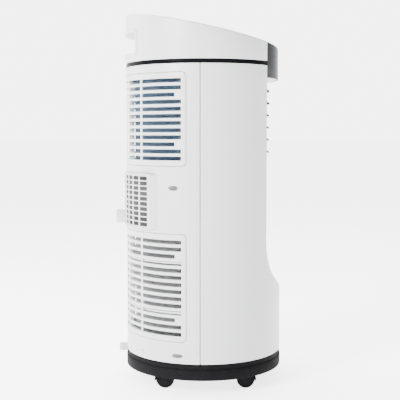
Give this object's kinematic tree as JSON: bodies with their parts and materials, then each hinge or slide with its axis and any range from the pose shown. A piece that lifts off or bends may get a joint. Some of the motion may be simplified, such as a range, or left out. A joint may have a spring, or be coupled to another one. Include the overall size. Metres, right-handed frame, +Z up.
{
  "type": "portable air conditioner",
  "caption": "Upright oval portable air conditioner on swivel casters, with a tilting louvred front outlet, a sloped head, slotted rear intakes and a rear hot-air outlet.",
  "frame": {"origin": "on the floor under the middle of the object's box", "axes": "+Z up, +X towards the front outlet, +Y towards the unit's right side as seen from the back"},
  "size_m": [0.3096, 0.3146, 0.672],
  "materials": {
    "white_plastic": "fine satin moulded",
    "black_plastic": "matte moulded",
    "gloss_black": "polished",
    "smoked_plastic": "smoked gloss",
    "dark_grey_plastic": "satin moulded",
    "grey_plastic": "satin moulded",
    "blue_fins": "blue coated fins",
    "aluminium_fins": "bare rolled fins",
    "zinc_steel": "zinc plated",
    "black_steel": "black enamel"
  },
  "bodies": {
    "casing": {"exhaust_grid": "white_plastic", "rear_cover": "white_plastic", "base_pan": "black_plastic", "front_cover": "white_plastic", "outlet_frame": "dark_grey_plastic", "control_panel": "gloss_black", "top_cover": "white_plastic", "condenser_fan_housing": "grey_plastic", "evaporator_fan_housing": "grey_plastic", "compressor": "black_steel", "trim_ring": "gloss_black", "drip_deck": "grey_plastic", "upper_drain_spout": "white_plastic", "lower_drain_spout": "white_plastic", "handle_cup": "white_plastic", "exhaust_housing": "white_plastic", "cord_gland": "black_plastic", "louvre_motor": "zinc_steel", "evaporator_fan_motor": "zinc_steel", "condenser_fan_motor": "zinc_steel", "visor": "smoked_plastic", "cover_screw_upper_left": "zinc_steel", "cover_screw_upper_right": "zinc_steel", "cover_screw_lower_left": "zinc_steel", "cover_screw_lower_right": "zinc_steel", "evaporator_coil": "blue_fins", "condenser_coil": "aluminium_fins", "visor_carrier": "white_plastic", "exhaust_duct": "grey_plastic", "control_box": "grey_plastic"},
    "caster_back_left": {"caster_fork_back_left": "black_plastic"},
    "wheel_back_left": {"caster_wheel_back_left": "dark_grey_plastic"},
    "caster_back_right": {"caster_fork_back_right": "black_plastic"},
    "wheel_back_right": {"caster_wheel_back_right": "dark_grey_plastic"},
    "caster_front_left": {"caster_fork_front_left": "black_plastic"},
    "wheel_front_left": {"caster_wheel_front_left": "dark_grey_plastic"},
    "caster_front_right": {"caster_fork_front_right": "black_plastic"},
    "wheel_front_right": {"caster_wheel_front_right": "dark_grey_plastic"},
    "louvre_1": {"louvre_1": "dark_grey_plastic"},
    "louvre_2": {"louvre_2": "dark_grey_plastic"},
    "louvre_3": {"louvre_3": "dark_grey_plastic"},
    "louvre_4": {"louvre_4": "dark_grey_plastic"},
    "louvre_5": {"louvre_5": "dark_grey_plastic"},
    "louvre_6": {"louvre_6": "dark_grey_plastic"},
    "louvre_tie_bar": {"louvre_tie_bar": "grey_plastic"},
    "upper_grille": {"upper_grille": "white_plastic"},
    "upper_filter": {"upper_filter": "white_plastic"},
    "upper_drain_cap": {"upper_drain_cap": "white_plastic"},
    "lower_grille": {"lower_grille": "white_plastic"},
    "lower_filter": {"lower_filter": "white_plastic"},
    "lower_drain_cap": {"lower_drain_cap": "white_plastic"},
    "evaporator_fan": {"evaporator_fan_wheel": "grey_plastic"},
    "condenser_fan": {"condenser_fan_wheel": "grey_plastic"},
    "power_button": {"power_button": "dark_grey_plastic"},
    "mode_button": {"mode_button": "dark_grey_plastic"},
    "speed_button": {"speed_button": "dark_grey_plastic"},
    "timer_button": {"timer_button": "dark_grey_plastic"},
    "cooler_button": {"cooler_button": "dark_grey_plastic"},
    "warmer_button": {"warmer_button": "dark_grey_plastic"}
  },
  "joints": [
    {"name": "caster_swivel_back_left", "type": "hinge", "parent": "casing", "child": "caster_back_left", "pos_m": [-0.06425, -0.097, 0.04], "axis": [0, 0, 1], "continuous": true},
    {"name": "wheel_roll_back_left", "type": "hinge", "parent": "caster_back_left", "child": "wheel_back_left", "pos_m": [-0.05825, -0.097, 0.0161], "axis": [0, 1, 0], "continuous": true},
    {"name": "caster_swivel_back_right", "type": "hinge", "parent": "casing", "child": "caster_back_right", "pos_m": [-0.06425, 0.097, 0.04], "axis": [0, 0, 1], "continuous": true},
    {"name": "wheel_roll_back_right", "type": "hinge", "parent": "caster_back_right", "child": "wheel_back_right", "pos_m": [-0.05825, 0.097, 0.0161], "axis": [0, 1, 0], "continuous": true},
    {"name": "caster_swivel_front_left", "type": "hinge", "parent": "casing", "child": "caster_front_left", "pos_m": [0.09185, -0.097, 0.04], "axis": [0, 0, 1], "continuous": true},
    {"name": "wheel_roll_front_left", "type": "hinge", "parent": "caster_front_left", "child": "wheel_front_left", "pos_m": [0.08585, -0.097, 0.0161], "axis": [0, 1, 0], "continuous": true},
    {"name": "caster_swivel_front_right", "type": "hinge", "parent": "casing", "child": "caster_front_right", "pos_m": [0.09185, 0.097, 0.04], "axis": [0, 0, 1], "continuous": true},
    {"name": "wheel_roll_front_right", "type": "hinge", "parent": "caster_front_right", "child": "wheel_front_right", "pos_m": [0.08585, 0.097, 0.0161], "axis": [0, 1, 0], "continuous": true},
    {"name": "louvre_1_tilt", "type": "hinge", "parent": "casing", "child": "louvre_1", "pos_m": [0.11145, 0, 0.5394], "axis": [0, 1, 0], "range_deg": [-41, 29]},
    {"name": "louvre_2_tilt", "type": "hinge", "parent": "casing", "child": "louvre_2", "pos_m": [0.11145, 0, 0.5177], "axis": [0, 1, 0], "range_deg": [-41, 29]},
    {"name": "louvre_3_tilt", "type": "hinge", "parent": "casing", "child": "louvre_3", "pos_m": [0.11145, 0, 0.496], "axis": [0, 1, 0], "range_deg": [-41, 29]},
    {"name": "louvre_4_tilt", "type": "hinge", "parent": "casing", "child": "louvre_4", "pos_m": [0.11145, 0, 0.4743], "axis": [0, 1, 0], "range_deg": [-41, 29]},
    {"name": "louvre_5_tilt", "type": "hinge", "parent": "casing", "child": "louvre_5", "pos_m": [0.11145, 0, 0.4526], "axis": [0, 1, 0], "range_deg": [-41, 29]},
    {"name": "louvre_6_tilt", "type": "hinge", "parent": "casing", "child": "louvre_6", "pos_m": [0.11145, 0, 0.4309], "axis": [0, 1, 0], "range_deg": [-41, 29]},
    {"name": "tie_bar_pivot", "type": "hinge", "parent": "louvre_1", "child": "louvre_tie_bar", "pos_m": [0.10425, 0.084, 0.54373], "axis": [0, 1, 0], "range_deg": [-29, 41]},
    {"name": "upper_grille_pull", "type": "slide", "parent": "casing", "child": "upper_grille", "axis": [-1, 0, 0], "range_m": [0, 0.15]},
    {"name": "upper_filter_unclip", "type": "slide", "parent": "upper_grille", "child": "upper_filter", "axis": [1, 0, 0], "range_m": [0, 0.006]},
    {"name": "upper_drain_cap_pull", "type": "slide", "parent": "casing", "child": "upper_drain_cap", "axis": [-1, 0, 0], "range_m": [0, 0.03]},
    {"name": "lower_grille_pull", "type": "slide", "parent": "casing", "child": "lower_grille", "axis": [-1, 0, 0], "range_m": [0, 0.15]},
    {"name": "lower_filter_unclip", "type": "slide", "parent": "lower_grille", "child": "lower_filter", "axis": [1, 0, 0], "range_m": [0, 0.006]},
    {"name": "lower_drain_cap_pull", "type": "slide", "parent": "casing", "child": "lower_drain_cap", "axis": [-1, 0, 0], "range_m": [0, 0.03]},
    {"name": "evaporator_fan_spin", "type": "hinge", "parent": "casing", "child": "evaporator_fan", "pos_m": [-0.02915, 0, 0.47245], "axis": [1, 0, 0], "continuous": true},
    {"name": "condenser_fan_spin", "type": "hinge", "parent": "casing", "child": "condenser_fan", "pos_m": [-0.02915, 0, 0.1596], "axis": [1, 0, 0], "continuous": true},
    {"name": "power_press", "type": "slide", "parent": "casing", "child": "power_button", "axis": [-0.2106, 0, -0.9776], "range_m": [0, 0.001], "stiffness_N_per_m": 400, "springref_m": -0.0005},
    {"name": "mode_press", "type": "slide", "parent": "casing", "child": "mode_button", "axis": [-0.2106, 0, -0.9776], "range_m": [0, 0.001], "stiffness_N_per_m": 400, "springref_m": -0.0005},
    {"name": "speed_press", "type": "slide", "parent": "casing", "child": "speed_button", "axis": [-0.2106, 0, -0.9776], "range_m": [0, 0.001], "stiffness_N_per_m": 400, "springref_m": -0.0005},
    {"name": "timer_press", "type": "slide", "parent": "casing", "child": "timer_button", "axis": [-0.2106, 0, -0.9776], "range_m": [0, 0.001], "stiffness_N_per_m": 400, "springref_m": -0.0005},
    {"name": "cooler_press", "type": "slide", "parent": "casing", "child": "cooler_button", "axis": [-0.2106, 0, -0.9776], "range_m": [0, 0.001], "stiffness_N_per_m": 400, "springref_m": -0.0005},
    {"name": "warmer_press", "type": "slide", "parent": "casing", "child": "warmer_button", "axis": [-0.2106, 0, -0.9776], "range_m": [0, 0.001], "stiffness_N_per_m": 400, "springref_m": -0.0005}
  ],
  "couplings": [
    {"joint": "louvre_2_tilt", "follows": "louvre_1_tilt", "ratio": 1},
    {"joint": "louvre_3_tilt", "follows": "louvre_1_tilt", "ratio": 1},
    {"joint": "louvre_4_tilt", "follows": "louvre_1_tilt", "ratio": 1},
    {"joint": "louvre_5_tilt", "follows": "louvre_1_tilt", "ratio": 1},
    {"joint": "louvre_6_tilt", "follows": "louvre_1_tilt", "ratio": 1},
    {"joint": "tie_bar_pivot", "follows": "louvre_1_tilt", "ratio": -1}
  ]
}
